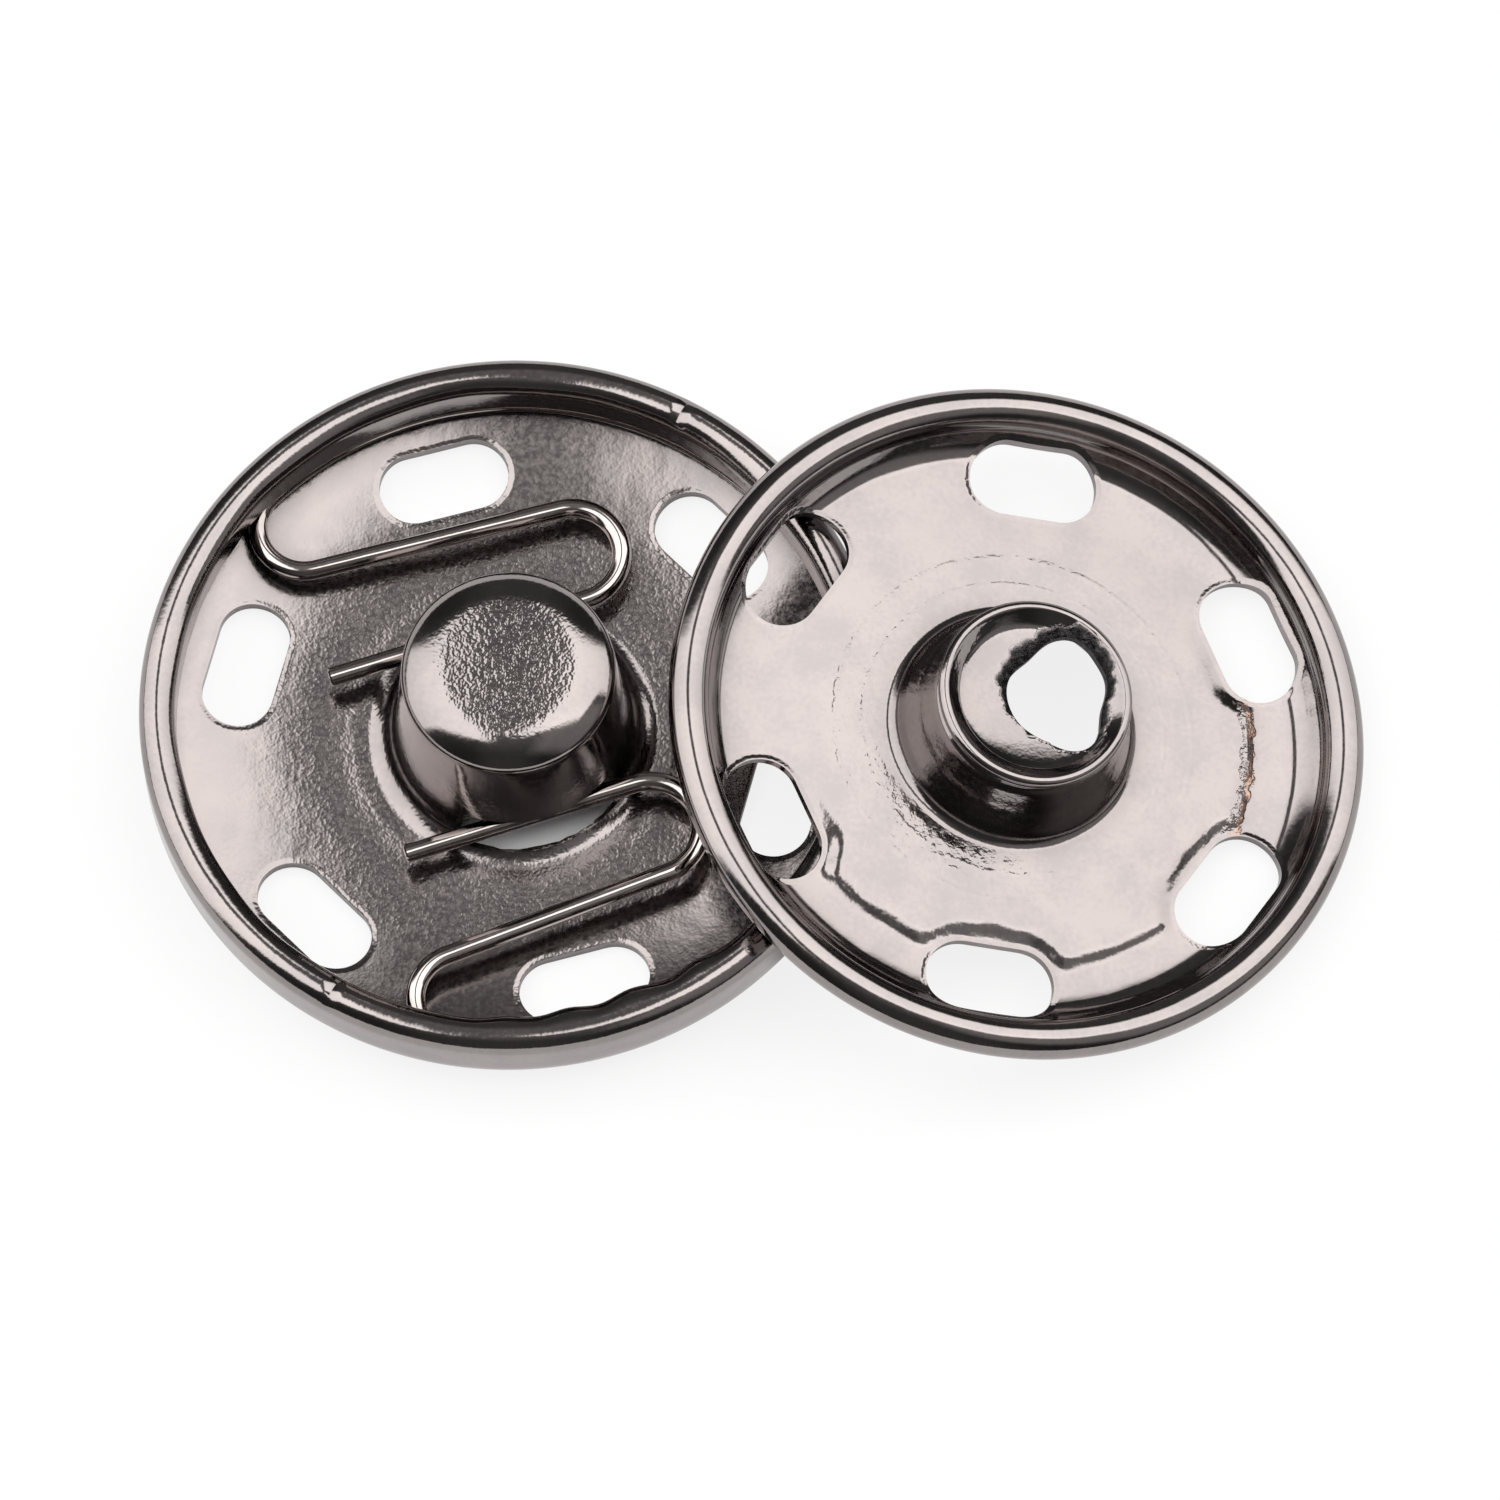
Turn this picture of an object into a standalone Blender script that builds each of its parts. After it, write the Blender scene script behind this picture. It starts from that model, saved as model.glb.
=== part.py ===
"""Sew-on snap fastener in two halves.

The socket half lies face down, so its boss and its wire spring show. The stud half
leans on the socket half's rim, stud upwards. Both halves are pressed from sheet.
"""

import math

import bmesh
import bpy
from mathutils import Matrix

MM = 0.001

# Socket half: a disc, its curled rim and its closed boss, heights from the disc's upper face
SOCKET_RADIUS = 12.5 * MM
SOCKET_SHEET = 0.4 * MM
SOCKET_CORNER = 1.2 * MM
DISH_START = 6 * MM
DISH_RISE = 0.575 * MM
RIM_HEIGHT = 3.15 * MM
RIM_CURL_RADIUS = 0.61 * MM
BOSS_HEIGHT = 6.4 * MM
BOSS_TOP_RADIUS = 3.6 * MM
BOSS_CROWN_RADIUS = 40 * MM
BOSS_SHOULDER_RADIUS = 1.94 * MM
BOSS_SHOULDER_TILT = math.radians(45)
BOSS_EDGE_RADIUS = 0.5 * MM
BOSS_DRAFT = math.radians(4.8)
BOSS_FILLET = 1.0 * MM
SOCKET_SLOT_INSET = 3.12 * MM
SOCKET_SLOT_LENGTH = 4.48 * MM
SOCKET_SLOT_WIDTH = 2.4 * MM
SOCKET_SLOT_TURN = math.radians(47.6)

# Wire spring of the socket half
WIRE_DIAMETER = 0.65 * MM
SPRING_HEIGHT = 1.1 * MM
SPRING_TURN = math.radians(20.5)
ARM_OFFSET = 3.43 * MM
UPPER_ARM_END = 5.4 * MM
LOWER_ARM_END = 4.87 * MM
FRONT_LOOP_RADIUS = 1.7 * MM
UPPER_LOOP_REACH = 5.4 * MM
LOWER_LOOP_REACH = 4.9 * MM
BACK_LOOP_RADIUS = 1.6 * MM
BACK_LOOP_ANGLE = math.radians(117)
SPRING_RECESS = 0.14 * MM

# Clearances round the spring: under the rim's lip, past a window's end and above its arms.
# The windows start at the height of their sill.
LIP_CLEARANCE = 0.1 * MM
WINDOW_CLEARANCE = 0.2 * MM
WINDOW_MARGIN = 0.325 * MM
WINDOW_SILL = 0.2 * MM

# Stud half: a disc, its rolled bead and its hollow stud, heights from the slotted face
STUD_RADIUS = 11.92 * MM
STUD_SHEET = 0.35 * MM
BEAD_RADIUS = 0.67 * MM
BEAD_HEIGHT = 1.58 * MM
BEAD_FILLET = 0.9 * MM
PLATFORM_INSET = 3.92 * MM
PLATFORM_RISE = 0.25 * MM
STEP_RADIUS = 0.4 * MM
STUD_FILLET = 0.5 * MM
STUD_WALL = 0.2 * MM
STUD_DRAFT = math.radians(21)
NECK_RADIUS = 3.05 * MM
NECK_HEIGHT = 2.98 * MM
NECK_FILLET = 0.3 * MM
HEAD_RADIUS = 3.31 * MM
HEAD_HEIGHT = 3.75 * MM
LIP_RADIUS = 0.23 * MM
BOWL_DEPTH = 0.7 * MM
BOWL_SHEET = 0.3 * MM
STUD_SLOT_INSET = 2.92 * MM
STUD_SLOT_LENGTH = 4.42 * MM
STUD_SLOT_WIDTH = 2.54 * MM
STUD_SLOT_TURN = math.radians(27.6)

# Hole torn through the bowl: its middle and mean radius, and the lobes of its outline, each
# with its count, its depth as a part of that radius and its direction
HOLE_X = 0.96 * MM
HOLE_Y = 0.32 * MM
HOLE_RADIUS = 1.77 * MM
HOLE_LOBES = (
    (2, 0.08, math.radians(-88.7)),
    (3, 0.08, math.radians(-54.6)),
    (4, 0.03, math.radians(14.5)),
    (5, 0.034, math.radians(15.3)),
)

# Six thread slots in each half
SLOT_COUNT = 6
SLOT_FLAT = 0.05 * MM

# How the halves lie: their axes' distance along and across, and the gap left where they touch
HALF_SPACING = 16.78 * MM
HALF_SHIFT = -0.13 * MM
REST_GAP = 0.04 * MM

# Steps of the turned shapes, a slot's corner, the hole, the spring's loops and arc, and the wire
TURN_STEPS = 60
SLOT_STEPS = 5
HOLE_STEPS = 28
LOOP_STEPS = 13
RIM_ARC_STEPS = 48
WIRE_SIDES = 8

SOCKET_COLOUR = (0.30, 0.285, 0.28, 1)
SPRING_COLOUR = (0.36, 0.335, 0.325, 1)
STUD_COLOUR = (0.46, 0.43, 0.42, 1)


def clear_scene():
    for obj in list(bpy.data.objects):
        bpy.data.objects.remove(obj, do_unlink=True)


def metal(name, colour, roughness):
    material = bpy.data.materials.new(name)
    material.use_nodes = True
    shader = material.node_tree.nodes["Principled BSDF"]
    shader.inputs["Base Color"].default_value = colour
    shader.inputs["Metallic"].default_value = 1.0
    shader.inputs["Roughness"].default_value = roughness
    material.diffuse_color = colour
    return material


def mesh_object(name, bm, collection=None):
    mesh = bpy.data.meshes.new(name)
    bm.to_mesh(mesh)
    bm.free()
    obj = bpy.data.objects.new(name, mesh)
    (collection or bpy.context.scene.collection).objects.link(obj)
    return obj


# Pressed sheet: a profile follows bends, and both faces keep half the sheet from its middle


def arc_points(x, z, radius, start, end, steps):
    return [
        (
            x + radius * math.cos(start + (end - start) * i / steps),
            z + radius * math.sin(start + (end - start) * i / steps),
        )
        for i in range(steps + 1)
    ]


def sheet_face(bends, half, side):
    """One face of the sheet: side is 1 for the face on the left of the way out, -1 for the right."""
    points = []
    for x, z, radius, start, end, steps in bends:
        turn = math.copysign(1, end - start)
        points += arc_points(x, z, radius - side * turn * half, start, end, steps)
    return points


def turned(name, profile):
    """The profile runs from the axis down the outer side and back along the inner side."""
    bm = bmesh.new()
    verts = [bm.verts.new((x, 0, z)) for x, z in profile]
    for first, second in zip(verts, verts[1:]):
        bm.edges.new((first, second))
    obj = mesh_object(name, bm)
    screw = obj.modifiers.new("Turn", "SCREW")
    screw.angle = math.tau
    screw.steps = screw.render_steps = TURN_STEPS
    screw.axis = "Z"
    screw.use_merge_vertices = True
    screw.merge_threshold = 0.000001
    screw.use_smooth_shade = True
    return obj


# Socket half


def boss_shoulder():
    """Middle of the boss's shoulder and the tilt at which it leaves the crown."""
    inset = (BOSS_SHOULDER_RADIUS - BOSS_EDGE_RADIUS) * math.sin(BOSS_SHOULDER_TILT)
    x = BOSS_TOP_RADIUS - BOSS_EDGE_RADIUS - inset
    reach = BOSS_CROWN_RADIUS - BOSS_SHOULDER_RADIUS
    tilt = math.asin(x / reach)
    return x, BOSS_HEIGHT - BOSS_CROWN_RADIUS + reach * math.cos(tilt), tilt


def boss_edge():
    """Middle of the boss's edge, which carries on from its shoulder."""
    rise = (BOSS_SHOULDER_RADIUS - BOSS_EDGE_RADIUS) * math.cos(BOSS_SHOULDER_TILT)
    return BOSS_TOP_RADIUS - BOSS_EDGE_RADIUS, boss_shoulder()[1] + rise


def boss_foot():
    """Radius at which the boss's foot runs into the disc's upper face."""
    x, z = boss_edge()
    wall = x * math.cos(BOSS_DRAFT) + z * math.sin(BOSS_DRAFT) + BOSS_EDGE_RADIUS
    return (wall + BOSS_FILLET - BOSS_FILLET * math.sin(BOSS_DRAFT)) / math.cos(BOSS_DRAFT)


def boss_bends(half):
    """Crown, shoulder, edge and foot of the boss, from the axis outwards."""
    x, z, tilt = boss_shoulder()
    quarter = math.pi / 2
    steep = quarter - BOSS_SHOULDER_TILT
    crown = (0, BOSS_HEIGHT - BOSS_CROWN_RADIUS, BOSS_CROWN_RADIUS - half)
    foot = (boss_foot(), BOSS_FILLET, BOSS_FILLET + half)
    return [
        (*crown, quarter, quarter - tilt, 1),
        (x, z, BOSS_SHOULDER_RADIUS - half, quarter - tilt, steep, 3),
        (*boss_edge(), BOSS_EDGE_RADIUS - half, steep, BOSS_DRAFT, 3),
        (*foot, math.pi + BOSS_DRAFT, 3 * quarter, 3),
    ]


def rim_bends(half):
    """Dished outer part of the disc, the corner and wall of the rim, and its inward curl."""
    quarter = math.pi / 2
    inner = SOCKET_CORNER - SOCKET_SHEET
    corner = (SOCKET_RADIUS - SOCKET_CORNER, DISH_RISE + inner)
    span = corner[0] - DISH_START
    dish = (span**2 + corner[1] ** 2 - inner**2) / (2 * DISH_RISE)
    slope = math.asin(span / (dish - inner))
    curl = (SOCKET_RADIUS - RIM_CURL_RADIUS, RIM_HEIGHT - RIM_CURL_RADIUS)
    return [
        (DISH_START, dish, dish + half, 3 * quarter, 3 * quarter + slope, 3),
        (*corner, SOCKET_CORNER - half, 3 * quarter + slope, 4 * quarter, 4),
        (*curl, RIM_CURL_RADIUS - half, 0, math.pi, 7),
    ]


def lip_radius():
    """Middle of the sheet at the rim's inner lip."""
    return SOCKET_RADIUS - 2 * RIM_CURL_RADIUS + SOCKET_SHEET / 2


def spring_rim_radius():
    """The spring's long arc lies under the lip, a little further out than its middle."""
    return lip_radius() + SPRING_RECESS


def socket_profile():
    half = SOCKET_SHEET / 2
    bends = boss_bends(half) + rim_bends(half)
    lip_bottom = SPRING_HEIGHT + WIRE_DIAMETER / 2 + LIP_CLEARANCE
    left = sheet_face(bends, half, 1) + [(lip_radius() + half, lip_bottom)]
    right = sheet_face(bends, half, -1) + [(lip_radius() - half, lip_bottom)]
    return left + right[::-1]


def slot_outline(length, width):
    """A slot with round ends, its long side along X. SLOT_FLAT keeps its corners apart."""
    radius = (width - SLOT_FLAT) / 2
    quarter = math.pi / 2
    points = []
    for sign_x, sign_y, turns in ((1, -1, 3), (1, 1, 0), (-1, 1, 1), (-1, -1, 2)):
        x = sign_x * (length / 2 - radius)
        y = sign_y * (width / 2 - radius)
        points += arc_points(x, y, radius, turns * quarter, (turns + 1) * quarter, SLOT_STEPS)
    return points


def add_prism(bm, outline, matrix, low, high):
    """A closed upright prism over a counterclockwise outline."""
    bottom = [bm.verts.new(matrix @ Matrix.Translation((x, y, low)).translation) for x, y in outline]
    top = [bm.verts.new(matrix @ Matrix.Translation((x, y, high)).translation) for x, y in outline]
    bm.faces.new(bottom[::-1])
    bm.faces.new(top)
    for i, vert in enumerate(bottom):
        j = (i + 1) % len(bottom)
        bm.faces.new((vert, bottom[j], top[j], top[i]))


def add_slots(bm, ring, length, width, turn, low, high):
    for i in range(SLOT_COUNT):
        angle = turn + math.tau * i / SLOT_COUNT
        place = Matrix.Rotation(angle, 4, "Z") @ Matrix.Translation((ring, 0, 0))
        place = place @ Matrix.Rotation(-math.pi / 2, 4, "Z")
        add_prism(bm, slot_outline(length, width), place, low, high)


def cut(obj, cutter):
    cutter.hide_render = True
    cutter.display_type = "WIRE"
    cutter.parent = obj
    modifier = obj.modifiers.new(cutter.name, "BOOLEAN")
    modifier.operation = "DIFFERENCE"
    modifier.solver = "EXACT"
    modifier.object = cutter


def box_outline(low_x, high_x, low_y, high_y):
    return [(low_x, low_y), (high_x, low_y), (high_x, high_y), (low_x, high_y)]


def add_windows(bm):
    """The two side windows of the boss, which the spring's arms run through."""
    wire = WIRE_DIAMETER / 2
    near = ARM_OFFSET - wire - WINDOW_CLEARANCE
    foot = boss_foot()
    outer = foot - math.sqrt(BOSS_FILLET**2 - (BOSS_FILLET - WINDOW_SILL) ** 2)
    half_length = math.sqrt(outer**2 - near**2) + WINDOW_CLEARANCE
    turn = Matrix.Rotation(SPRING_TURN, 4, "Z")
    for low_y, high_y in ((near, foot), (-foot, -near)):
        outline = box_outline(-half_length, half_length, low_y, high_y)
        add_prism(bm, outline, turn, WINDOW_SILL, SPRING_HEIGHT + wire + WINDOW_MARGIN)


def build_socket(material):
    plate = turned("socket_plate", socket_profile())
    bm = bmesh.new()
    margin = 3 * SOCKET_SHEET
    add_slots(
        bm,
        SOCKET_RADIUS - SOCKET_SLOT_INSET,
        SOCKET_SLOT_LENGTH,
        SOCKET_SLOT_WIDTH,
        SOCKET_SLOT_TURN,
        -SOCKET_SHEET - margin,
        margin,
    )
    cut(plate, mesh_object("socket_slot_cutter", bm))
    bm = bmesh.new()
    add_windows(bm)
    cut(plate, mesh_object("socket_window_cutter", bm))
    plate.data.materials.append(material)
    return plate


# Wire spring


def spring_side(side, arm_end, reach):
    """Middle line of one side of the spring, from its free end to the rim."""
    front = (reach - FRONT_LOOP_RADIUS, ARM_OFFSET + FRONT_LOOP_RADIUS)
    distance = spring_rim_radius() - BACK_LOOP_RADIUS
    back = (distance * math.cos(BACK_LOOP_ANGLE), distance * math.sin(BACK_LOOP_ANGLE))
    span = (back[0] - front[0], back[1] - front[1])
    both = FRONT_LOOP_RADIUS + BACK_LOOP_RADIUS
    straight = math.sqrt(span[0] ** 2 + span[1] ** 2 - both**2)
    heading = math.atan2(span[1], span[0]) + math.atan2(both, straight)
    quarter = math.pi / 2
    points = [(-arm_end, ARM_OFFSET)]
    points += arc_points(*front, FRONT_LOOP_RADIUS, -quarter, heading - quarter, LOOP_STEPS)
    points += arc_points(*back, BACK_LOOP_RADIUS, heading + quarter, BACK_LOOP_ANGLE, LOOP_STEPS)
    return [(x, side * y) for x, y in points]


def spring_line():
    upper = spring_side(1, UPPER_ARM_END, UPPER_LOOP_REACH)
    lower = spring_side(-1, LOWER_ARM_END, LOWER_LOOP_REACH)
    ends = (BACK_LOOP_ANGLE, -BACK_LOOP_ANGLE)
    arc = arc_points(0, 0, spring_rim_radius(), *ends, RIM_ARC_STEPS)
    return upper + arc[1:-1] + lower[::-1]


def build_spring(material):
    curve = bpy.data.curves.new("socket_spring", "CURVE")
    curve.dimensions = "3D"
    curve.twist_mode = "Z_UP"
    curve.bevel_depth = WIRE_DIAMETER / 2
    curve.bevel_resolution = WIRE_SIDES // 4
    curve.use_fill_caps = True
    line = spring_line()
    spline = curve.splines.new("POLY")
    spline.points.add(len(line) - 1)
    for point, (x, y) in zip(spline.points, line):
        point.co = (x, y, 0, 1)
    obj = bpy.data.objects.new("socket_spring", curve)
    bpy.context.scene.collection.objects.link(obj)
    obj.data.materials.append(material)
    return obj


# Stud half


def wall_offset():
    """Distance from the origin to the stud's outer wall line, along the wall's normal."""
    return NECK_RADIUS * math.cos(STUD_DRAFT) + NECK_HEIGHT * math.sin(STUD_DRAFT)


def bead_bends(half):
    """Hollow under the bead's inner side and the bead itself."""
    fillet = BEAD_FILLET + half
    bead = BEAD_RADIUS - half
    bead_x = STUD_RADIUS - BEAD_RADIUS
    bead_z = BEAD_HEIGHT - BEAD_RADIUS
    rise = math.asin((bead_z - BEAD_FILLET) / (fillet + bead))
    fillet_x = bead_x - (fillet + bead) * math.cos(rise)
    quarter = math.pi / 2
    return [
        (fillet_x, BEAD_FILLET, fillet, 3 * quarter, 4 * quarter + rise, 5),
        (bead_x, bead_z, bead, 2 * quarter + rise, -quarter, 9),
    ]


def stud_foot():
    """Radius at which the stud's foot runs into the platform."""
    middle = PLATFORM_RISE + STUD_FILLET
    reach = wall_offset() + STUD_FILLET - middle * math.sin(STUD_DRAFT)
    return reach / math.cos(STUD_DRAFT)


def foot_face():
    start = math.pi + STUD_DRAFT
    centre = (stud_foot(), PLATFORM_RISE + STUD_FILLET)
    return arc_points(*centre, STUD_FILLET, start, 3 * math.pi / 2, 3)


def foot_back():
    """Underside of the foot, from the full sheet up into the thinner drawn wall."""
    low = PLATFORM_RISE - STUD_SHEET
    reach = stud_foot() * math.cos(STUD_DRAFT) + low * math.sin(STUD_DRAFT)
    radius = (reach - wall_offset() + STUD_WALL) / (1 - math.sin(STUD_DRAFT))
    start = 3 * math.pi / 2
    return arc_points(stud_foot(), low + radius, radius, start, math.pi + STUD_DRAFT, 3)


def disc_bends(half):
    """Step round the platform, and the bead."""
    quarter = math.pi / 2
    platform = STUD_RADIUS - PLATFORM_INSET
    slope = math.acos(1 - PLATFORM_RISE / (2 * STEP_RADIUS))
    step_x = platform + 2 * STEP_RADIUS * math.sin(slope)
    high = PLATFORM_RISE - half - STEP_RADIUS
    low = STEP_RADIUS - half
    return [
        (platform, high, STEP_RADIUS, quarter, quarter - slope, 2),
        (step_x, low, STEP_RADIUS, 3 * quarter - slope, 3 * quarter, 2),
    ] + bead_bends(half)


def lip_middle():
    return HEAD_RADIUS - LIP_RADIUS, HEAD_HEIGHT - LIP_RADIUS


def bowl_radius():
    """Radius of the bowl that is BOWL_DEPTH deep and runs smoothly into the lip."""
    x, z = lip_middle()
    sunk = z - (HEAD_HEIGHT - BOWL_DEPTH)
    return (x**2 + sunk**2 - LIP_RADIUS**2) / (2 * (LIP_RADIUS + sunk))


def head_face():
    """Bowl, lip and neck of the stud, from the axis outwards."""
    x, z = lip_middle()
    bowl = bowl_radius()
    slope = math.asin(x / (bowl + LIP_RADIUS))
    both = LIP_RADIUS + NECK_FILLET
    along = x * math.cos(STUD_DRAFT) + z * math.sin(STUD_DRAFT)
    under = math.acos((wall_offset() + NECK_FILLET - along) / both) - STUD_DRAFT
    neck = (x + both * math.cos(under), z - both * math.sin(under))
    quarter = math.pi / 2
    floor = HEAD_HEIGHT - BOWL_DEPTH
    points = arc_points(0, floor + bowl, bowl, -quarter, slope - quarter, 3)
    points += arc_points(x, z, LIP_RADIUS, quarter + slope, -under, 6)[1:]
    points += arc_points(*neck, NECK_FILLET, math.pi - under, math.pi + STUD_DRAFT, 3)[1:]
    return points


def head_back():
    """Hollow under the bowl, from the wall in to the axis."""
    radius = bowl_radius() + BOWL_SHEET
    middle = HEAD_HEIGHT - BOWL_DEPTH + bowl_radius()
    wall = wall_offset() - STUD_WALL - middle * math.sin(STUD_DRAFT)
    meet = STUD_DRAFT - math.acos(wall / radius)
    return arc_points(0, middle, radius, meet, -math.pi / 2, 3)


def stud_profile():
    half = STUD_SHEET / 2
    bends = disc_bends(half)
    face = head_face() + foot_face() + sheet_face(bends, half, 1)
    back = sheet_face(bends, half, -1)
    return face + back[::-1] + foot_back() + head_back()


def hole_outline():
    points = []
    for i in range(HOLE_STEPS):
        angle = math.tau * i / HOLE_STEPS
        radius = HOLE_RADIUS
        for count, depth, phase in HOLE_LOBES:
            radius += HOLE_RADIUS * depth * math.cos(count * (angle - phase))
        points.append((HOLE_X + radius * math.cos(angle), HOLE_Y + radius * math.sin(angle)))
    return points


def build_stud(material):
    plate = turned("stud_plate", stud_profile())
    bm = bmesh.new()
    margin = 2 * STUD_SHEET
    add_slots(
        bm,
        STUD_RADIUS - STUD_SLOT_INSET,
        STUD_SLOT_LENGTH,
        STUD_SLOT_WIDTH,
        STUD_SLOT_TURN,
        -STUD_SHEET - margin,
        BEAD_HEIGHT + margin,
    )
    cut(plate, mesh_object("stud_slot_cutter", bm))
    bm = bmesh.new()
    low = HEAD_HEIGHT - BOWL_DEPTH - 2 * BOWL_SHEET
    add_prism(bm, hole_outline(), Matrix.Identity(4), low, HEAD_HEIGHT + BOWL_SHEET)
    cut(plate, mesh_object("stud_hole_cutter", bm))
    plate.data.materials.append(material)
    return plate


# How the halves lie


def stud_low_point(lean):
    """How far the stud half reaches below its own origin, on its low side."""
    reach = []
    for x, z, radius, _start, _end, _steps in bead_bends(STUD_SHEET / 2):
        outer = radius + STUD_SHEET / 2
        reach.append(x * math.sin(lean) - z * math.cos(lean) + outer)
    return max(reach)


def rest_gap(lean):
    """Gap between the stud half's back and the top of the socket's rim."""
    x = SOCKET_RADIUS - RIM_CURL_RADIUS - HALF_SPACING
    z = SOCKET_SHEET + RIM_HEIGHT - RIM_CURL_RADIUS - stud_low_point(lean)
    height = x * math.sin(lean) + z * math.cos(lean)
    return PLATFORM_RISE - STUD_SHEET - height - RIM_CURL_RADIUS


def stud_lean():
    """Lean at which the stud half meets both the floor and the socket's rim."""
    low, high = math.radians(1), math.radians(60)
    for _ in range(60):
        middle = (low + high) / 2
        if rest_gap(middle) < REST_GAP:
            low = middle
        else:
            high = middle
    return middle


def main():
    clear_scene()
    socket = build_socket(metal("socket_metal", SOCKET_COLOUR, 0.32))
    spring = build_spring(metal("spring_metal", SPRING_COLOUR, 0.18))
    stud = build_stud(metal("stud_metal", STUD_COLOUR, 0.28))
    lean = stud_lean()
    bead_x = (STUD_RADIUS - BEAD_RADIUS) * math.cos(lean)
    bead_x += (BEAD_HEIGHT - BEAD_RADIUS) * math.sin(lean)
    middle = (HALF_SPACING + bead_x + BEAD_RADIUS - SOCKET_RADIUS) / 2
    socket.location = (-middle, 0, SOCKET_SHEET)
    spring.location = (-middle, 0, SOCKET_SHEET + SPRING_HEIGHT)
    spring.rotation_euler = (0, 0, SPRING_TURN)
    stud.location = (HALF_SPACING - middle, HALF_SHIFT, stud_low_point(lean))
    stud.rotation_euler = (0, lean, 0)


main()
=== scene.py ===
"""Looks of the sew-on snap fastener: finer meshes over the CAD frame, plated metal, studio."""

import math

import bmesh
import bpy
import numpy as np
from mathutils import Euler, Matrix, Vector


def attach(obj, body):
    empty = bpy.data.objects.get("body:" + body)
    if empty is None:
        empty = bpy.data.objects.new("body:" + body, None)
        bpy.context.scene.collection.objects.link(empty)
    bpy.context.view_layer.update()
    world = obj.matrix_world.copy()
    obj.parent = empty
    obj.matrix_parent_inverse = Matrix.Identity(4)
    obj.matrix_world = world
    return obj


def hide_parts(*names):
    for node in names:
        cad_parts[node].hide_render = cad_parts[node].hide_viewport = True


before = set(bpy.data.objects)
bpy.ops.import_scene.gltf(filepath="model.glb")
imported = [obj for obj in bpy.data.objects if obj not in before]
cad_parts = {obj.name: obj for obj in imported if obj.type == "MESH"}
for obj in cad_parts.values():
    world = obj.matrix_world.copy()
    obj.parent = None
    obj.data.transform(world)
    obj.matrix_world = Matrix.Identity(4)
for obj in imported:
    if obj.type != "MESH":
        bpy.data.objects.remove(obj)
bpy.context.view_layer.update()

MM = 0.001
QUARTER = math.pi / 2

# All sizes are in mm and all angles in radians, unless a name or comment says otherwise.
# Places of the two halves in the row frame, as in the CAD
SOCKET_AT = (-8.0565, 0.0, 0.4)
STUD_AT = (8.7235, -0.13, 2.5705)
STUD_LEAN = math.radians(13.1184)
SPRING_TURN = math.radians(20.5)

# Socket plate, as in the CAD
SOCKET_R = 12.5
SOCKET_SHEET = 0.4
CORNER = 1.2
DISH_START = 6.0
DISH_RISE = 0.575
RIM_TOP = 3.15
CURL = 0.61
BOSS_R = 3.6
BOSS_TOP = 6.4
BOSS_CROWN = 40.0
BOSS_SHOULDER = 1.94
BOSS_EDGE = 0.5
BOSS_DRAFT = math.radians(4.8)
BOSS_FILLET = 1.0
WINDOW_LOW = 0.2
WINDOW_HIGH = 1.75
WINDOW_GAP = 0.2
LIP_GAP = 0.1

# Wire spring, as in the CAD; ARM is how far each arm lies from the axis
WIRE_R = 0.325
WIRE_Z = 1.1
ARM = 3.43
RECESS = 0.14
RING_R = SOCKET_R - 2 * CURL + SOCKET_SHEET / 2 + RECESS
FRONT_LOOP = 1.7
BACK_LOOP = 1.6
BACK_AT = math.radians(117)

# Stud plate, as in the CAD
STUD_R = 11.92
STUD_SHEET = 0.35
BEAD = 0.67
BEAD_TOP = 1.58
BEAD_FILLET = 0.9
PLATFORM_R = 8.0
RISE = 0.25
FOOT_FILLET = 0.5
STUD_WALL = 0.2
STUD_DRAFT = math.radians(21)
NECK_R = 3.05
NECK_Z = 2.98
NECK_FILLET = 0.3
HEAD_R = 3.31
HEAD_Z = 3.75
LIP = 0.23
BOWL_DEPTH = 0.7
BOWL_SHEET = 0.3

# Slots, as in the CAD: radius of their ring, half length, half width and first angle
SOCKET_SLOTS = (9.38, 2.24, 1.2, math.radians(47.6))
STUD_SLOTS = (9.0, 2.21, 1.27, math.radians(27.6))

# The torn hole: its middle, its radius and its lobes as count, share of the radius and degrees
HOLE_AT = (0.96, 0.32)
HOLE_R = 1.77
HOLE_LOBES = ((2, 0.08, -88.7), (3, 0.08, -54.6), (4, 0.03, 14.5), (5, 0.034, 15.3))

# Small forms in the looks only: the slots' ends and how far a slot is out of true, the ragged
# sills under the windows, and the chamfers of the curled lip and of the wire's ends
SLOT_FLAT = 0.02
SLOT_WANDER = 0.015
SLOT_SWAY = math.radians(0.4)
SILL_R = 4.24
SILL_RAG = 0.05
LIP_CHAMFER = (0.12, 0.09)
WIRE_CHAMFER = 0.05

# Where the stud disc's profile steps down, before stud_shape spreads the platform's real edge
CREASE_R = 7.0

# Nicks across the socket's rim: the radius they lie at, then each one's angle in degrees, half
# width and depth
NICK_RING = 11.9
NICKS = ((63.9, 0.13, 0.09), (-117.1, 0.1, 0.07))

# Where the curled lip reaches further in: angle and half width in degrees, and how far
LIP_LOBES = ((-66, 5, 0.32), (-77, 4, 0.2), (-54, 4, 0.2), (-88, 4, 0.12), (38, 6, 0.07))

# Rings pressed out of the stud's wall: height, half width and depth
WALL_RINGS = (
    (2.93, 0.17, 0.13),
    (2.1, 0.1, 0.05),
    (1.55, 0.09, 0.045),
    (1.0, 0.1, 0.05),
    (2.5, 0.07, 0.03),
)

# Fineness of the meshes
TURN_STEPS = 360
WIRE_SIDES = 20
HOLE_STEPS = 96
LINE_STEP = 0.25
WIRE_STEP = 0.4

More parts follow.
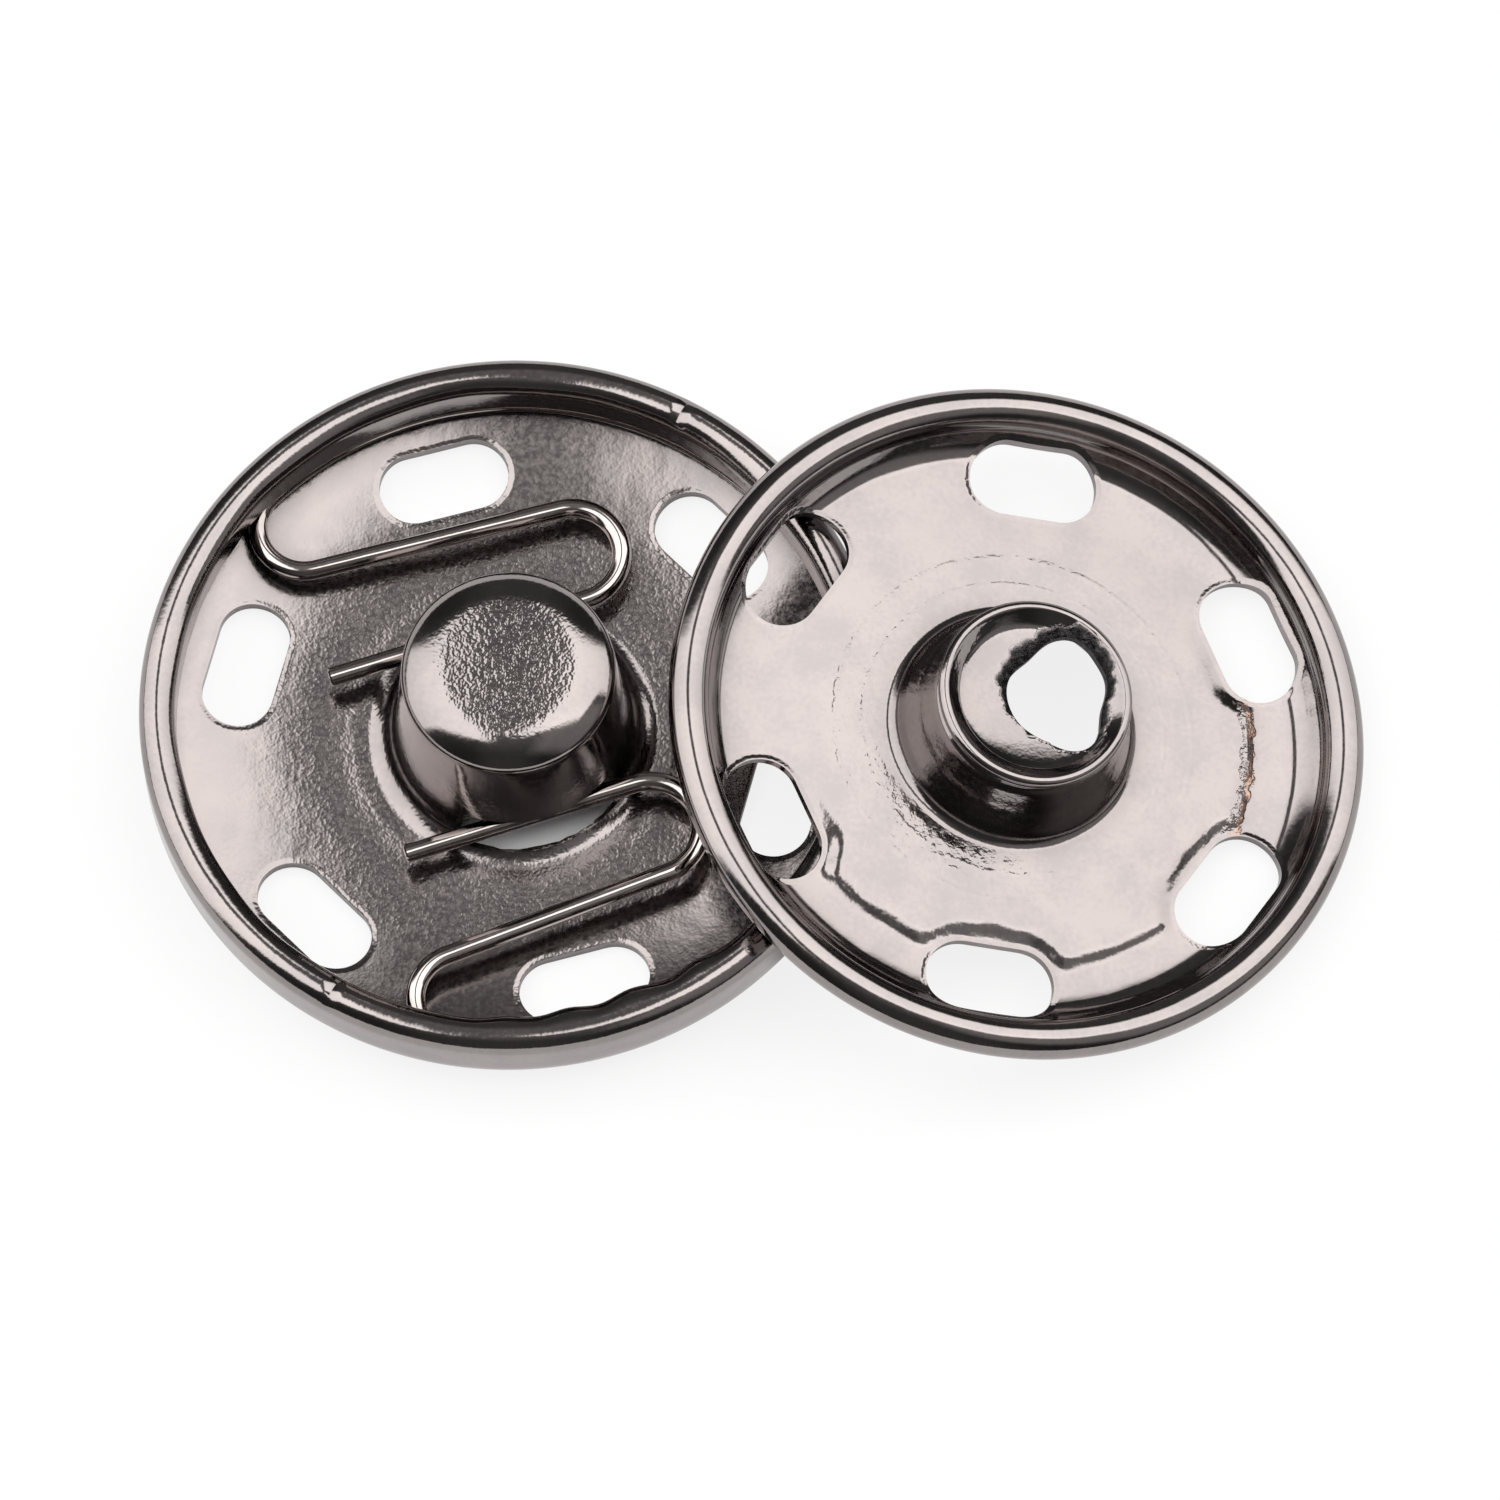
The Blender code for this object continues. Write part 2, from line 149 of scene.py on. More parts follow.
# Colours: dark nickel, brighter wire, painted shade for corners and under the wire, bare copper,
# near-black for a band round the torn hole
PLATING = (0.288, 0.261, 0.254)
WIRE_METAL = (0.48, 0.43, 0.41)
PAINTED_SHADE = (0.012, 0.011, 0.011, 1)
COPPER = (0.42, 0.24, 0.16, 1)
HOLE_BAND_BLACK = (0.03, 0.03, 0.035, 1)

# Camera: its turn in degrees, how far to the right of and above the socket half's place it aims,
# as the picture shows it, its distance from there and its lens
CAMERA_TURN = (21.273, 1.089, 2.64)
CAMERA_AIM = (7.952, -0.573)
CAMERA_AWAY = 471.7
CAMERA_LENS = 336

# Each piece's place and rotation
SOCKET_PLACE = (SOCKET_AT, (0, 0, 0))
SPRING_PLACE = ((SOCKET_AT[0], 0, SOCKET_AT[2] + WIRE_Z), (0, 0, SPRING_TURN))
STUD_PLACE = (STUD_AT, (0, STUD_LEAN, 0))


# Curves


def ease(a, b, x):
    t = np.clip((x - a) / (b - a), 0, 1)
    return t * t * (3 - 2 * t)


def bell(x, middle, width):
    return np.exp(-(((x - middle) / width) ** 2))


def arc(x, z, radius, start, end, steps):
    t = np.linspace(start, end, steps + 1)
    return [(x + radius * math.cos(a), z + radius * math.sin(a)) for a in t]


def line(a, b, step=LINE_STEP):
    """Points between a and b, without either, about a step apart."""
    count = max(1, int(math.hypot(b[0] - a[0], b[1] - a[1]) / step))
    return [
        (a[0] + (b[0] - a[0]) * i / count, a[1] + (b[1] - a[1]) * i / count)
        for i in range(1, count)
    ]


def chain(parts):
    """Joins polylines, with fine straight runs between them."""
    points = list(parts[0])
    for part in parts[1:]:
        points += line(points[-1], part[0])
        points += list(part)
    return points


def face_of(bends, half, side):
    """One face of a sheet, half a sheet to one side of its bends."""
    parts = []
    for x, z, radius, start, end, steps in bends:
        turn = math.copysign(1, end - start)
        parts.append(arc(x, z, radius - side * turn * half, start, end, steps))
    return parts


# Meshes


def new_object(name, data):
    obj = bpy.data.objects.new(name, data)
    bpy.context.scene.collection.objects.link(obj)
    return obj


def object_of_points(name, points, faces):
    mesh = bpy.data.meshes.new(name)
    mesh.from_pydata((points * MM).tolist(), [], faces)
    mesh.update()
    return new_object(name, mesh)


def object_of_bmesh(name, bm):
    mesh = bpy.data.meshes.new(name)
    bm.to_mesh(mesh)
    bm.free()
    return new_object(name, mesh)


def split(points):
    """Copies of x, y and z, and each point's distance from the axis and its angle."""
    x, y, z = points.T.copy()
    return x, y, z, np.hypot(x, y), np.arctan2(y, x)


def lathe(name, profile, shape):
    """A closed mesh turned about Z from a profile that starts and ends on the axis. shape moves
    its points."""
    steps = TURN_STEPS
    ring = np.linspace(0, math.tau, steps, endpoint=False)
    r, z = np.array(profile[1:-1]).T
    rows = len(r)
    x = np.outer(r, np.cos(ring))
    y = np.outer(r, np.sin(ring))
    points = np.stack([x.ravel(), y.ravel(), np.repeat(z, steps)], 1)
    points = np.vstack([points, [[0, 0, profile[0][1]], [0, 0, profile[-1][1]]]])
    top, bottom = rows * steps, rows * steps + 1
    faces = []
    for i in range(rows - 1):
        a = i * steps
        for j in range(steps):
            k = (j + 1) % steps
            faces.append((a + j, a + steps + j, a + steps + k, a + k))
    for j in range(steps):
        k = (j + 1) % steps
        faces.append((top, j, k))
        faces.append((bottom, (rows - 1) * steps + k, (rows - 1) * steps + j))
    return object_of_points(name, shape(points), faces)


def prism(bm, outline, matrix, low, high):
    rows = []
    for z in (low, high):
        rows.append([bm.verts.new(matrix @ Vector((x * MM, y * MM, z * MM))) for x, y in outline])
    bm.faces.new(rows[0][::-1])
    bm.faces.new(rows[1])
    count = len(outline)
    for i in range(count):
        j = (i + 1) % count
        bm.faces.new((rows[0][i], rows[0][j], rows[1][j], rows[1][i]))


def cut(obj, tools):
    """Cuts and keeps the result as plain mesh, then removes the cutters."""
    for tool in tools:
        modifier = obj.modifiers.new("cut", "BOOLEAN")
        modifier.operation = "DIFFERENCE"
        modifier.solver = "EXACT"
        modifier.object = tool
    graph = bpy.context.evaluated_depsgraph_get()
    mesh = bpy.data.meshes.new_from_object(obj.evaluated_get(graph))
    obj.modifiers.clear()
    obj.data = mesh
    for tool in tools:
        bpy.data.objects.remove(tool, do_unlink=True)


def smooth(obj, degrees=32):
    mesh = obj.data
    mesh.polygons.foreach_set("use_smooth", [True] * len(mesh.polygons))
    mesh.set_sharp_from_angle(angle=math.radians(degrees))


def settle(obj, place):
    """Moves the mesh itself to its place, so that the object keeps the frame's own axes."""
    at, turn = place
    obj.data.transform(Matrix.Translation(Vector(at) * MM) @ Euler(turn).to_matrix().to_4x4())


# Slots


def slot_outline(length, width):
    """A slot round its own middle, from its half length and half width. Each round end has a
    very short flat."""
    outline = []
    for side, top, k in ((1, -1, 3), (1, 1, 0), (-1, 1, 1), (-1, -1, 2)):
        x, y = side * (length - width), top * SLOT_FLAT
        outline += arc(x, y, width - SLOT_FLAT, k * QUARTER, (k + 1) * QUARTER, 14)
    return outline


def slot_cutter(slots, low, high, seed):
    """Six punched slots, each very slightly out of true."""
    ring, length, width, turn = slots
    rng = np.random.default_rng(seed)
    outline = slot_outline(length, width)
    bm = bmesh.new()
    for i in range(6):
        wobble = rng.uniform(-1, 1, 2)
        place = Matrix.Rotation(turn + math.tau * i / 6, 4, "Z")
        place = place @ Matrix.Translation(((ring + SLOT_WANDER * wobble[0]) * MM, 0, 0))
        place = place @ Matrix.Rotation(-QUARTER + SLOT_SWAY * wobble[1], 4, "Z")
        prism(bm, outline, place, low, high)
    return object_of_bmesh("slots", bm)


def slot_distance(x, y, slots):
    """Distance from the nearest slot's edge, negative inside."""
    ring, length, width, turn = slots
    angle = np.mod(np.arctan2(y, x) - turn + math.pi / 6, math.pi / 3) - math.pi / 6
    r = np.hypot(x, y)
    across = r * np.cos(angle) - ring
    along = np.abs(r * np.sin(angle)) - (length - width)
    return np.hypot(across, np.maximum(along, 0)) - width


# Socket plate


def boss_shoulder():
    x = BOSS_R - BOSS_EDGE - (BOSS_SHOULDER - BOSS_EDGE) * math.sin(QUARTER / 2)
    reach = BOSS_CROWN - BOSS_SHOULDER
    tilt = math.asin(x / reach)
    return x, BOSS_TOP - BOSS_CROWN + reach * math.cos(tilt), tilt


def boss_edge():
    drop = (BOSS_SHOULDER - BOSS_EDGE) * math.cos(QUARTER / 2)
    return BOSS_R - BOSS_EDGE, boss_shoulder()[1] + drop


def boss_foot():
    x, z = boss_edge()
    wall = x * math.cos(BOSS_DRAFT) + z * math.sin(BOSS_DRAFT) + BOSS_EDGE
    return (wall + BOSS_FILLET - BOSS_FILLET * math.sin(BOSS_DRAFT)) / math.cos(BOSS_DRAFT)


def rim_bends(half):
    """Dished outer part of the disc, the corner and wall of the rim, and its inward curl."""
    inner = CORNER - SOCKET_SHEET
    x, z = SOCKET_R - CORNER, DISH_RISE + inner
    span = x - DISH_START
    dish = (span**2 + z**2 - inner**2) / (2 * DISH_RISE)
    slope = math.asin(span / (dish - inner))
    return [
        (DISH_START, dish, dish + half, 3 * QUARTER, 3 * QUARTER + slope, 22),
        (x, z, CORNER - half, 3 * QUARTER + slope, 4 * QUARTER, 12),
        (SOCKET_R - CURL, RIM_TOP - CURL, CURL - half, 0, math.pi, 24),
    ]


def socket_profile():
    half = SOCKET_SHEET / 2
    x, z, tilt = boss_shoulder()
    bends = [
        (0, BOSS_TOP - BOSS_CROWN, BOSS_CROWN - half, QUARTER, QUARTER - tilt, 10),
        (x, z, BOSS_SHOULDER - half, QUARTER - tilt, QUARTER / 2, 10),
        (*boss_edge(), BOSS_EDGE - half, QUARTER / 2, BOSS_DRAFT, 8),
        (boss_foot(), BOSS_FILLET, BOSS_FILLET + half, math.pi + BOSS_DRAFT, 3 * QUARTER, 12),
    ] + rim_bends(half)
    lip = SOCKET_R - 2 * CURL + half
    low = WIRE_Z + WIRE_R + LIP_GAP
    lower = [(lip + half, low), (lip - half + LIP_CHAMFER[0], low)]
    upper = [(lip - half, low + LIP_CHAMFER[1])]
    outer = chain(face_of(bends, half, 1) + [lower])
    inner = chain(face_of(bends, half, -1) + [upper])
    return outer + inner[::-1]


def disc_swell(r, a, z):
    """A soft ring round the boss's foot, and a slow wave that ends before the corner."""
    ring = 0.025 * bell(r, 5.3, 0.3)
    wave = (0.012 * np.sin(2 * a + 0.6) + 0.008 * np.sin(5 * a + 2)) * ease(6, 9, r)
    return (z < 0.9) * ease(4.2, 5.0, r) * (ring + wave * (1 - ease(10.0, 11.2, r)))


def lip_ripple(r, a, z):
    """The curled lip's lower edge rises and falls where the sheet was folded in."""
    lip = (r < 11.75) & (r > 11.2) & (z > 1.3) & (z < 2.3)
    ripple = 0.05 * np.sin(23 * a + 1.2 * np.sin(3 * a)) + 0.03 * np.sin(41 * a + 2 * np.sin(2 * a))
    return np.where(lip, ripple * ease(2.3, 1.55, z), 0)


def nick_drop(r, a, z):
    drop = np.zeros_like(r)
    for degrees, width, depth in NICKS:
        turn = np.mod(a - math.radians(degrees) + math.pi, math.tau) - math.pi
        drop += depth * bell(NICK_RING * turn, 0, width)
    return drop * ease(2.75, 3.0, z) * (r > 10)


def lip_scale(r, a, z):
    """The curl reaches further in at some places than at others."""
    reach = 0.03 + 0.02 * np.sin(9 * a + 1) + 0.015 * np.sin(17 * a)
    for degrees, width, depth in LIP_LOBES:
        reach += depth * bell(np.degrees(a), degrees, width)
    rim = (r < 11.95) & (r > 11.2) & (z > 1.4)
    return np.where(rim, 1 - reach * ease(11.95, 11.35, r) / np.maximum(r, 1), 1)


def socket_shape(points):
    x, y, z, r, a = split(points)
    z += disc_swell(r, a, z)
    z += lip_ripple(r, a, z)
    z -= nick_drop(r, a, z)
    scale = lip_scale(r, a, z)
    return np.stack([x * scale, y * scale, z], 1)


def window_cutter(near, turn):
    """Slots through the boss's foot for the spring's arms."""
    foot = boss_foot()
    outer = foot - math.sqrt(BOSS_FILLET**2 - (BOSS_FILLET - WINDOW_LOW) ** 2)
    half = math.sqrt(outer**2 - near**2) + WINDOW_GAP
    bm = bmesh.new()
    for low, high in ((near, foot), (-foot, -near)):
        outline = [(-half, low), (half, low), (half, high), (-half, high)]
        prism(bm, outline, turn, WINDOW_LOW, WINDOW_HIGH)
    return object_of_bmesh("windows", bm)


def sill_cutter(near, turn):
    """Takes the thin sill out under each window and leaves a ragged edge in the disc."""
    rng = np.random.default_rng(2)
    reach = math.acos((near + 0.02) / (SILL_R + 0.01))
    bm = bmesh.new()
    for middle in (QUARTER, -QUARTER):
        outline = []
        for a in np.linspace(middle - reach, middle + reach, 25):
            radius = SILL_R + SILL_RAG * rng.uniform(-1, 1)
            outline.append((radius * math.cos(a), radius * math.sin(a)))
        prism(bm, outline, turn, -0.6, WINDOW_LOW + 0.05)
    return object_of_bmesh("sills", bm)


def build_socket():
    obj = lathe("socket_plate_fine", socket_profile(), socket_shape)
    near = ARM - WIRE_R - WINDOW_GAP
    turn = Matrix.Rotation(SPRING_TURN, 4, "Z")
    slots = slot_cutter(SOCKET_SLOTS, -1.5, 1.5, 4)
    cut(obj, [slots, window_cutter(near, turn), sill_cutter(near, turn)])
    smooth(obj)
    settle(obj, SOCKET_PLACE)
    return obj


# Wire spring


def spring_side(side, arm_end, reach):
    """One arm from its free end, its loop, and the loop that leads on to the rim."""
    front = (reach - FRONT_LOOP, ARM + FRONT_LOOP)
    centre = RING_R - BACK_LOOP
    back = (centre * math.cos(BACK_AT), centre * math.sin(BACK_AT))
    both = FRONT_LOOP + BACK_LOOP
    span = (back[0] - front[0], back[1] - front[1])
    straight = math.sqrt(span[0] ** 2 + span[1] ** 2 - both**2)
    heading = math.atan2(span[1], span[0]) + math.atan2(both, straight)
    points = [(-arm_end, ARM)]
    points += arc(*front, FRONT_LOOP, -QUARTER, heading - QUARTER, 30)
    points += arc(*back, BACK_LOOP, heading + QUARTER, BACK_AT, 26)
    return [(x, side * y) for x, y in points]


def spring_points():
    upper = spring_side(1, 5.4, 5.4)
    lower = spring_side(-1, 4.87, 4.9)
    rim = arc(0, 0, RING_R, BACK_AT, -BACK_AT, 120)
    path = upper + rim[1:-1] + lower[::-1]
    dense = []
    for a, b in zip(path, path[1:]):
        dense.append(a)
        dense += line(a, b, WIRE_STEP)
    dense.append(path[-1])
    return np.array(dense)


def wire_ring(at, normal, radius):
    """A ring of points round the wire at one place of its path."""
    ring = []
    for a in np.linspace(0, math.tau, WIRE_SIDES, endpoint=False):
        out = radius * math.cos(a)
        ring.append((at[0] + normal[0] * out, at[1] + normal[1] * out, radius * math.sin(a)))
    return ring


def build_spring():
    """A swept wire whose ends have a small chamfer."""
    path = spring_points()
    step = np.gradient(path, axis=0)
    step /= np.linalg.norm(step, axis=1)[:, None]
    normal = np.stack([-step[:, 1], step[:, 0]], 1)
    rows = [
        wire_ring(path[0], normal[0], WIRE_R - WIRE_CHAMFER),
        wire_ring(path[0] + step[0] * WIRE_CHAMFER, normal[0], WIRE_R),
    ]
    for i in range(1, len(path) - 1):
        rows.append(wire_ring(path[i], normal[i], WIRE_R))
    rows.append(wire_ring(path[-1] - step[-1] * WIRE_CHAMFER, normal[-1], WIRE_R))
    rows.append(wire_ring(path[-1], normal[-1], WIRE_R - WIRE_CHAMFER))
    sides = WIRE_SIDES
    last = (len(rows) - 1) * sides
    faces = [tuple(range(sides))[::-1], tuple(last + j for j in range(sides))]
    for a in range(0, last, sides):
        for j in range(sides):
            k = (j + 1) % sides
            faces.append((a + j, a + k, a + sides + k, a + sides + j))
    obj = object_of_points("socket_spring_fine", np.array(rows).reshape(-1, 3), faces)
    bm = bmesh.new()
    bm.from_mesh(obj.data)
    bmesh.ops.recalc_face_normals(bm, faces=bm.faces)
    bm.to_mesh(obj.data)
    bm.free()
    smooth(obj, 40)
    settle(obj, SPRING_PLACE)
    return obj


# Stud plate


def wall_offset():
    return NECK_R * math.cos(STUD_DRAFT) + NECK_Z * math.sin(STUD_DRAFT)


def bowl_radius():
    x, z = HEAD_R - LIP, HEAD_Z - LIP
    sunk = z - (HEAD_Z - BOWL_DEPTH)
    return (x**2 + sunk**2 - LIP**2) / (2 * (LIP + sunk))


def stud_foot():
    middle = RISE + FOOT_FILLET
    return (wall_offset() + FOOT_FILLET - middle * math.sin(STUD_DRAFT)) / math.cos(STUD_DRAFT)


def stud_head():
    """The stud's outer face: sunk bowl, lip, neck and foot."""
    x, z = HEAD_R - LIP, HEAD_Z - LIP
    bowl = bowl_radius()
    slope = math.asin(x / (bowl + LIP))
    both = LIP + NECK_FILLET
    along = x * math.cos(STUD_DRAFT) + z * math.sin(STUD_DRAFT)
    under = math.acos((wall_offset() + NECK_FILLET - along) / both) - STUD_DRAFT
    neck = (x + both * math.cos(under), z - both * math.sin(under))
    foot = (stud_foot(), RISE + FOOT_FILLET)
    return [
        arc(0, HEAD_Z - BOWL_DEPTH + bowl, bowl, -QUARTER, slope - QUARTER, 40),
        arc(x, z, LIP, QUARTER + slope, -under, 18)[1:],
        arc(*neck, NECK_FILLET, math.pi - under, math.pi + STUD_DRAFT, 8)[1:],
        arc(*foot, FOOT_FILLET, math.pi + STUD_DRAFT, 3 * QUARTER, 10),
    ]


def stud_back():
    """The stud's hollow back: the foot's bend, the wall and the bowl's underside."""
    low = RISE - STUD_SHEET
    reach = stud_foot() * math.cos(STUD_DRAFT) + low * math.sin(STUD_DRAFT)
    radius = (reach - wall_offset() + STUD_WALL) / (1 - math.sin(STUD_DRAFT))
    middle = HEAD_Z - BOWL_DEPTH + bowl_radius()
    wall = wall_offset() - STUD_WALL - middle * math.sin(STUD_DRAFT)
    inner = bowl_radius() + BOWL_SHEET
    meet = STUD_DRAFT - math.acos(wall / inner)
    return [
        arc(stud_foot(), low + radius, radius, 3 * QUARTER, math.pi + STUD_DRAFT, 8),
        arc(0, middle, inner, meet, -QUARTER, 30),
    ]


def bead_bends(half):
    fillet, bead = BEAD_FILLET + half, BEAD - half
    bead_x, bead_z = STUD_R - BEAD, BEAD_TOP - BEAD
    rise = math.asin((bead_z - BEAD_FILLET) / (fillet + bead))
    fillet_x = bead_x - (fillet + bead) * math.cos(rise)
    return [
        (fillet_x, BEAD_FILLET, fillet, 3 * QUARTER, 4 * QUARTER + rise, 12),
        (bead_x, bead_z, bead, 2 * QUARTER + rise, -QUARTER, 30),
    ]


def stud_profile():
    half = STUD_SHEET / 2
    bends = bead_bends(half)
    past = CREASE_R + 0.01
    low = RISE - STUD_SHEET
    top = chain(stud_head() + [[(CREASE_R, RISE)], [(past, 0)]] + face_of(bends, half, 1))
    under = chain([[(CREASE_R, low)], [(past, -STUD_SHEET)]] + face_of(bends, half, -1))
    return top + under[::-1] + chain(stud_back())


def platform_height(x, y, r, a):
    """The platform's edge is crisp on the near side, with a scar at its right, and fades on the
    far side. On the near side it dips to channel level round the slots."""
    away = np.abs(np.mod(a + math.radians(60) + math.pi, math.tau) - math.pi)
    crisp = 1 - ease(math.radians(70), math.radians(105), away)
    wander = 0.05 * np.sin(5 * a + 1) + 0.04 * np.sin(13 * a) + 0.03 * np.sin(29 * a + 2)
    scar = bell(np.degrees(a), -3, 17)
    jag = 0.04 * scar * np.sin(61 * a) + 0.03 * scar * np.sin(97 * a + 1)
    sharp = 1 - ease(PLATFORM_R + wander + jag, 8.65 - 0.4 * scar + wander + jag, r)
    soft = 1 - ease(5.0, 9.6, r)
    dip = ease(0.03, 0.75, slot_distance(x, y, STUD_SLOTS) + wander * 0.5)
    return RISE * (crisp * sharp * dip + (1 - crisp) * soft)


def channel_rise(r, z):
    """The channel already rises gently before the bead."""
    rise = 0.2 * np.clip((r - 8.7) / 1.6, 0, 1) ** 2
    return np.where((r > 8.7) & (r < 11) & (z < 0.9), rise * (1 - ease(0.3, 0.9, z)), 0)


def wall_scale(r, a, z):
    """Rings left by drawing the stud, on its outer wall only."""
    outer = (r > 2.9) & (r < 5) & (z > 0.5) & (z < 3.3)
    skin = outer & (r > NECK_R + (NECK_Z - z) * math.tan(STUD_DRAFT) - 0.06)
    push = sum(depth * bell(z, height, width) for height, width, depth in WALL_RINGS)
    push *= 1 + 0.25 * np.sin(2 * a + 1)
    return np.where(skin, 1 + push / np.maximum(r, 1), 1)


def cup_sink(r):
    """How far the cup lies below the CAD's round bowl: a steep wall down to a flatter floor."""
    floor = 3.05 + 0.035 * r**2
    side = 3.724 - 0.85 * (3.05 - r)
    cup = 0.5 * (floor + side + np.sqrt((floor - side) ** 2 + 0.0025))
    return np.minimum(cup - (3.05 + r**2 / 13.8), 0) * ease(3.05, 2.9, r)


def hole_radius(angle):
    radius = HOLE_R
    for count, share, degrees in HOLE_LOBES:
        radius = radius + HOLE_R * share * np.cos(count * (angle - math.radians(degrees)))
    return radius


def torn(x, y):
    """1 at the torn hole's edge, 0 outside a band that is wide on the hole's upper left."""
    x, y = x - HOLE_AT[0], y - HOLE_AT[1]
    angle = np.arctan2(y, x)
    degrees = np.degrees(angle)
    far = np.hypot(x, y) - hole_radius(angle)
    band = 0.2 + 0.5 * bell(degrees, 135, 32) + 0.18 * bell(degrees, 60, 30)
    band += 0.2 * bell(np.abs(degrees), 180, 25)
    band += 0.06 * np.sin(11 * angle) + 0.05 * np.sin(23 * angle + 1)
    return 1 - ease(0.25, 1.0, far / band)


def stud_shape(points):
    x, y, z, r, a = split(points)
    sheet = (r > 5.0) & (r < 10.5) & (z < 0.5)
    flat = np.where(r < CREASE_R + 0.005, RISE, 0)
    z += np.where(sheet, platform_height(x, y, r, a) - flat, 0)
    z += channel_rise(r, z)
    scale = wall_scale(r, a, z)
    cup = (r < 3.05) & (z > 2.3)
    z += np.where(cup, cup_sink(r) - 0.3 * torn(x, y) ** 2, 0)
    return np.stack([x * scale, y * scale, z], 1)


def hole_cutter():
    outline = []
    for i in range(HOLE_STEPS):
        a = math.tau * i / HOLE_STEPS
        radius = hole_radius(a)
        outline.append((HOLE_AT[0] + radius * math.cos(a), HOLE_AT[1] + radius * math.sin(a)))
    bm = bmesh.new()
    prism(bm, outline, Matrix.Identity(4), 2.0, 4.1)
    return object_of_bmesh("hole", bm)


def mark_torn(mesh):
    """Writes how torn each point is, for the material."""
    points = np.empty(len(mesh.vertices) * 3)
    mesh.vertices.foreach_get("co", points)
    x, y, z = points.reshape(-1, 3).T / MM
    inside = (np.hypot(x, y) < 3.0) & (z > 2.1)
    values = np.where(inside, torn(x, y), 0)
    mesh.attributes.new("torn", "FLOAT", "POINT").data.foreach_set("value", values)


def build_stud():
    obj = lathe("stud_plate_fine", stud_profile(), stud_shape)
    slots = slot_cutter(STUD_SLOTS, -1.5, 3, 9)
    cut(obj, [slots, hole_cutter()])
    smooth(obj)
    mark_torn(obj.data)
    settle(obj, STUD_PLACE)
    return obj


# Materials


class Nodes:
    """Short names for building a node tree."""

    def __init__(self, tree):
        self.tree = tree
        self.column = 0

    def add(self, kind, **values):
        node = self.tree.nodes.new(kind)
        self.column += 1
        node.location = (180 * self.column - 2400, -90 * (self.column % 7))
        for key, value in values.items():
            setattr(node, key, value)
        return node

    def link(self, source, target):
        self.tree.links.new(source, target)

    def put(self, socket, value):
        if hasattr(value, "is_output"):
            self.link(value, socket)
        else:
            socket.default_value = value

    def math(self, operation, *values):
        node = self.add("ShaderNodeMath", operation=operation)
        for socket, value in zip(node.inputs, values):
            self.put(socket, value)
        return node.outputs[0]

    def plus(self, first, *others):
        for other in others:
            first = self.math("ADD", first, other)
        return first

    def minus(self, a, b):
        return self.math("SUBTRACT", a, b)

    def times(self, first, *others):
        for other in others:
            first = self.math("MULTIPLY", first, other)
        return first

    def off(self, value, middle):
        """How far a value is from a middle, either way."""
        return self.math("ABSOLUTE", self.minus(value, middle))

    def span(self, value, low, high, out_low=0.0, out_high=1.0, kind="SMOOTHSTEP"):
        """Maps low..high to out_low..out_high. low may be the larger one."""
        node = self.add("ShaderNodeMapRange", interpolation_type=kind)
        for name, number in (
            ("Value", value),
            ("From Min", low),
            ("From Max", high),
            ("To Min", out_low),
            ("To Max", out_high),
        ):
            self.put(node.inputs[name], number)
        return node.outputs["Result"]

    def noise(self, vector, scale, detail, roughness, distortion=0.0):
        node = self.add("ShaderNodeTexNoise")
        self.link(vector, node.inputs["Vector"])
        node.inputs["Scale"].default_value = scale
        node.inputs["Detail"].default_value = detail
        node.inputs["Roughness"].default_value = roughness
        node.inputs["Distortion"].default_value = distortion
        return node.outputs["Fac"]

    def mix(self, factor, a, b):
        node = self.add("ShaderNodeMix", data_type="RGBA")
        self.put(node.inputs["Factor"], factor)
        self.put(node.inputs["A"], a)
        self.put(node.inputs["B"], b)
        return node.outputs["Result"]

    def split(self, vector):
        node = self.add("ShaderNodeSeparateXYZ")
        self.link(vector, node.inputs[0])
        return node.outputs


def new_material(name):
    material = bpy.data.materials.new(name)
    material.use_nodes = True
    tree = material.node_tree
    shader = tree.nodes["Principled BSDF"]
    return material, Nodes(tree), shader


def coordinates(n, place):
    """The piece's own coordinates in mm, and the distance from its axis."""
    source = n.add("ShaderNodeTexCoord")
    scale = n.add("ShaderNodeVectorMath", operation="SCALE")
    n.link(source.outputs["Object"], scale.inputs[0])
    scale.inputs["Scale"].default_value = 1000
    own = n.add("ShaderNodeMapping", vector_type="TEXTURE")
    n.link(scale.outputs[0], own.inputs["Vector"])
    own.inputs["Location"].default_value = place[0]
    own.inputs["Rotation"].default_value = place[1]
    x, y, z = n.split(own.outputs[0])
    r = n.math("SQRT", n.plus(n.times(x, x), n.times(y, y)))
    return own.outputs[0], x, y, z, r


def bump(n, height):
    """A normal from a height in mm."""
    node = n.add("ShaderNodeBump")
    node.inputs["Strength"].default_value = 1.0
    node.inputs["Distance"].default_value = MM
    n.link(height, node.inputs["Height"])
    return node.outputs["Normal"]


def slot_edge(n, x, y, r, slots):
    """Distance from the nearest slot's edge, as slot_distance."""
    ring, length, width, turn = slots
    angle = n.plus(n.math("ARCTAN2", y, x), math.pi / 6 - turn + math.tau)
    angle = n.minus(n.math("FLOORED_MODULO", angle, math.pi / 3), math.pi / 6)
    across = n.minus(n.times(r, n.math("COSINE", angle)), ring)
    along = n.math("ABSOLUTE", n.times(r, n.math("SINE", angle)))
    along = n.math("MAXIMUM", n.minus(along, length - width), 0.0)
    total = n.plus(n.times(across, across), n.times(along, along))
    return n.minus(n.math("SQRT", total), width)


def painted_crevice_shade(n):
    """1 on open faces, less in corners and under the wire, where painted shade darkens the
    plating's colour.
    """
    node = n.add("ShaderNodeAmbientOcclusion")
    node.samples = 1
    node.inputs["Distance"].default_value = 1.1 * MM
    return n.span(node.outputs["AO"], 0.3, 0.85, 0.1, 1.0, "LINEAR")


